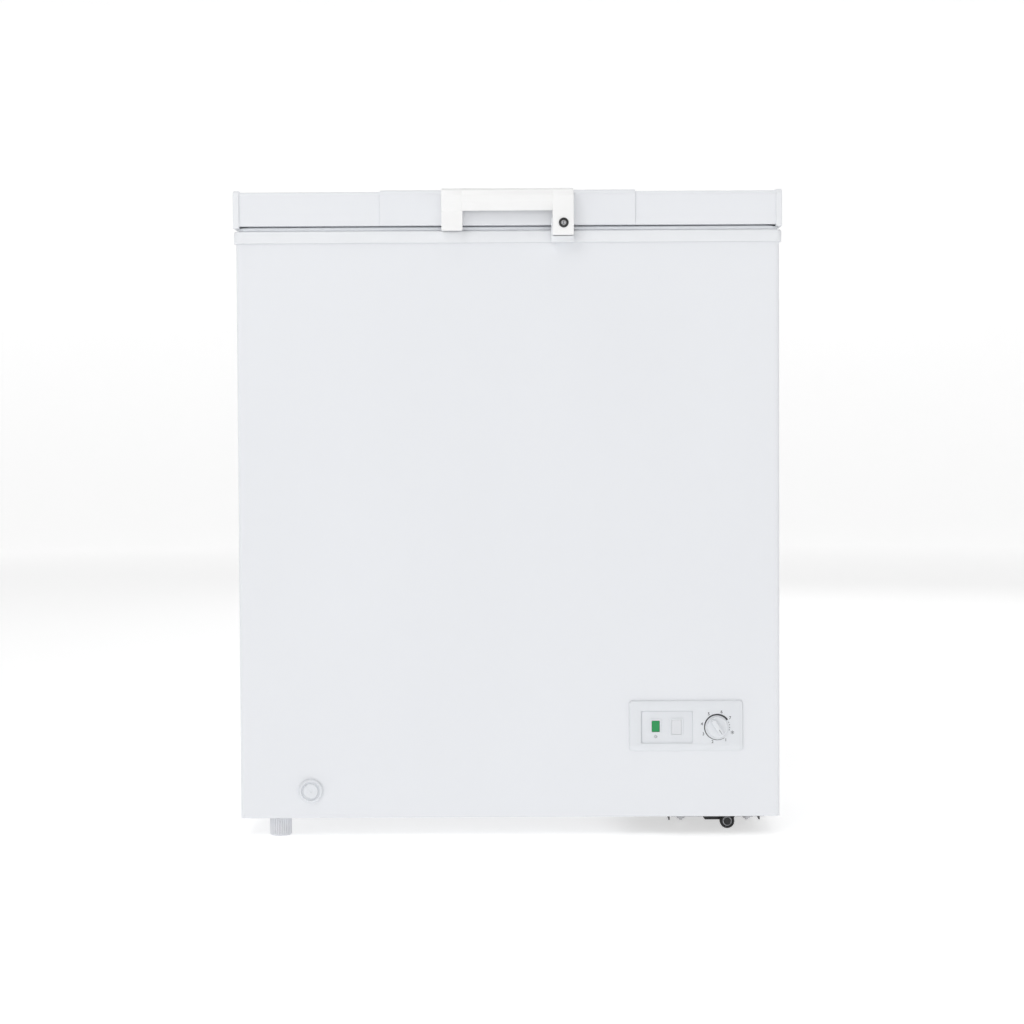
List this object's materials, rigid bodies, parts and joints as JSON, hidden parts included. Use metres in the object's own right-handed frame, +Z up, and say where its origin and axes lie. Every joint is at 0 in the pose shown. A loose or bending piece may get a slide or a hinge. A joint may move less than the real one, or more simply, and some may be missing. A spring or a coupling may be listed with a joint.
{
  "type": "chest freezer",
  "caption": "Upright-standing white chest freezer with a rear-hinged insulated lid, a lockable bar handle, a low dial panel, a front drain and a hanging wire basket",
  "frame": {"origin": "centre of the overall footprint, on the floor that the feet and casters stand on", "axes": "+X is the user's right as they face the front, -Y is the front, +Z is up"},
  "size_m": [0.718, 0.55, 0.85],
  "materials": {
    "white_painted_steel": "smooth semi-gloss white powder coat",
    "galvanised_steel": "bare zinc-coated sheet with faint spangle",
    "liner_aluminium": "fine stucco-embossed sheet",
    "foam": "cream rigid foam",
    "white_plastic": "satin moulded white plastic",
    "handle_plastic": "glossy moulded white plastic",
    "grey_plastic": "matte light grey moulded plastic",
    "gasket_vinyl": "soft matte vinyl",
    "black_steel": "black stoved enamel",
    "black_rubber": "matte black rubber",
    "black_plastic": "matte black plastic",
    "copper": "drawn copper tube",
    "green_lens": "clear green lens",
    "clear_lens": "milky ribbed lens",
    "lock_metal": "dark plated metal",
    "wire_coating": "white dip-coated wire"
  },
  "bodies": {
    "cabinet": {"outer_case": "white_painted_steel", "back_panel": "galvanised_steel", "bottom_panel": "galvanised_steel", "insulation_foam": "foam", "inner_liner": "liner_aluminium", "top_frame": "white_plastic", "rear_cover": "galvanised_steel", "cord_gland": "black_rubber", "side_vent_grille": "white_plastic", "latch_keeper": "white_plastic", "drain_tube": "white_plastic", "evaporator_coil": "liner_aluminium", "condenser_coil": "copper", "filter_drier": "copper", "compressor": "black_steel", "start_relay_cover": "black_plastic", "compressor_base_plate": "black_steel", "suction_line": "copper", "discharge_line": "copper", "compressor_grommet_1": "black_rubber", "compressor_grommet_2": "black_rubber", "compressor_grommet_3": "black_rubber", "compressor_grommet_4": "black_rubber", "compressor_bolt_1": "galvanised_steel", "compressor_bolt_2": "galvanised_steel", "compressor_bolt_3": "galvanised_steel", "compressor_bolt_4": "galvanised_steel", "caster_bracket_front": "black_steel", "caster_bracket_rear": "black_steel", "control_panel_bezel": "white_plastic", "running_lamp_lens": "green_lens", "power_lamp_lens": "clear_lens", "lamp_holder": "grey_plastic", "thermostat_body": "galvanised_steel", "hinge_body_leaf_left": "galvanised_steel", "hinge_pin_left": "galvanised_steel", "hinge_spring_left": "galvanised_steel", "hinge_body_leaf_right": "galvanised_steel", "hinge_pin_right": "galvanised_steel", "hinge_spring_right": "galvanised_steel"},
    "lid": {"lid_outer_panel": "white_painted_steel", "lid_inner_liner": "white_plastic", "lid_foam": "foam", "lid_gasket": "gasket_vinyl", "lid_end_trim_right": "white_plastic", "lid_end_trim_left": "white_plastic", "handle_backplate": "white_painted_steel", "handle": "handle_plastic", "hinge_lid_leaf_left": "galvanised_steel", "hinge_lid_leaf_right": "galvanised_steel"},
    "lock": {"lock_cylinder": "lock_metal", "lock_cam": "galvanised_steel"},
    "knob": {"thermostat_knob": "white_plastic"},
    "drain_cap_body": {"drain_cap": "white_plastic"},
    "drain_stopper_body": {"drain_stopper": "white_plastic"},
    "foot_front": {"levelling_foot_front": "grey_plastic"},
    "foot_rear": {"levelling_foot_rear": "grey_plastic"},
    "caster_front": {"caster_wheel_front": "black_plastic"},
    "caster_rear": {"caster_wheel_rear": "black_plastic"},
    "basket": {"wire_basket": "wire_coating"}
  },
  "joints": [
    {"name": "lid_hinge", "type": "hinge", "parent": "cabinet", "child": "lid", "pos_m": [0, 0.266, 0.8], "axis": [-1, 0, 0], "range_deg": [0, 85], "stiffness_Nm_per_rad": 3, "springref_deg": 85.94, "deforming": ["hinge_spring_left", "hinge_spring_right"]},
    {"name": "lock_turn", "type": "hinge", "parent": "lid", "child": "lock", "pos_m": [0.0729, -0.273, 0.8045], "axis": [0, 1, 0], "range_deg": [0, 90]},
    {"name": "knob_turn", "type": "hinge", "parent": "cabinet", "child": "knob", "pos_m": [0.273, -0.249, 0.1437], "axis": [0, 1, 0], "range_deg": [0, 320]},
    {"name": "drain_cap_pull", "type": "slide", "parent": "cabinet", "child": "drain_cap_body", "axis": [0, -1, 0], "range_m": [0, 0.03]},
    {"name": "drain_stopper_lift", "type": "slide", "parent": "cabinet", "child": "drain_stopper_body", "axis": [0, 0, 1], "range_m": [0, 0.04]},
    {"name": "foot_front_turn", "type": "hinge", "parent": "cabinet", "child": "foot_front", "pos_m": [-0.305, -0.226, 0], "axis": [0, 0, 1], "continuous": true},
    {"name": "foot_rear_turn", "type": "hinge", "parent": "cabinet", "child": "foot_rear", "pos_m": [-0.305, 0.234, 0], "axis": [0, 0, 1], "continuous": true},
    {"name": "caster_front_roll", "type": "hinge", "parent": "cabinet", "child": "caster_front", "pos_m": [0.291, -0.19, 0.0098], "axis": [0, 1, 0], "continuous": true},
    {"name": "caster_rear_roll", "type": "hinge", "parent": "cabinet", "child": "caster_rear", "pos_m": [0.291, 0.198, 0.0098], "axis": [0, 1, 0], "continuous": true},
    {"name": "basket_slide", "type": "slide", "parent": "cabinet", "child": "basket", "axis": [-1, 0, 0], "range_m": [0, 0.31]}
  ]
}
